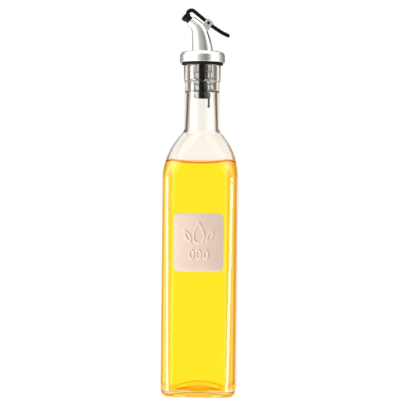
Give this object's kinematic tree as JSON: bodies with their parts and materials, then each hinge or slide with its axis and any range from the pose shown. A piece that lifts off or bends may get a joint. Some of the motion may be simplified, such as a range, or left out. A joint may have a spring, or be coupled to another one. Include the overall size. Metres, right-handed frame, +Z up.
{
  "type": "glass oil bottle with lever pourer",
  "caption": "Tall square glass bottle of cooking oil with a raised front label and a silver pouring spout, whose mouth a spring-free black thumb lever closes.",
  "frame": {"origin": "centre of the bottle's base, on the surface it stands on", "axes": "+Z up along the bottle, -Y out of the label, -X towards the spout's mouth"},
  "size_m": [0.06, 0.0607, 0.3131],
  "materials": {
    "clear_glass": "clear, polished",
    "golden_oil": "clear yellow liquid",
    "pearl_label": "pale pearl, satin",
    "clear_silicone": "clear, satin",
    "black_plastic": "satin",
    "black_rubber": "matte",
    "satin_silver": "satin metallic coating"
  },
  "bodies": {
    "bottle_body": {"bottle": "clear_glass", "oil": "golden_oil", "label": "pearl_label", "stopper": "clear_silicone", "core": "black_plastic", "gasket": "black_rubber", "pourer": "satin_silver"},
    "lever_body": {"lever": "black_plastic", "plug": "black_rubber"}
  },
  "joints": [
    {"name": "lever_hinge", "type": "hinge", "parent": "bottle_body", "child": "lever_body", "pos_m": [0.0048, 0, 0.3011], "axis": [0, 1, 0], "range_deg": [0, 40]}
  ]
}
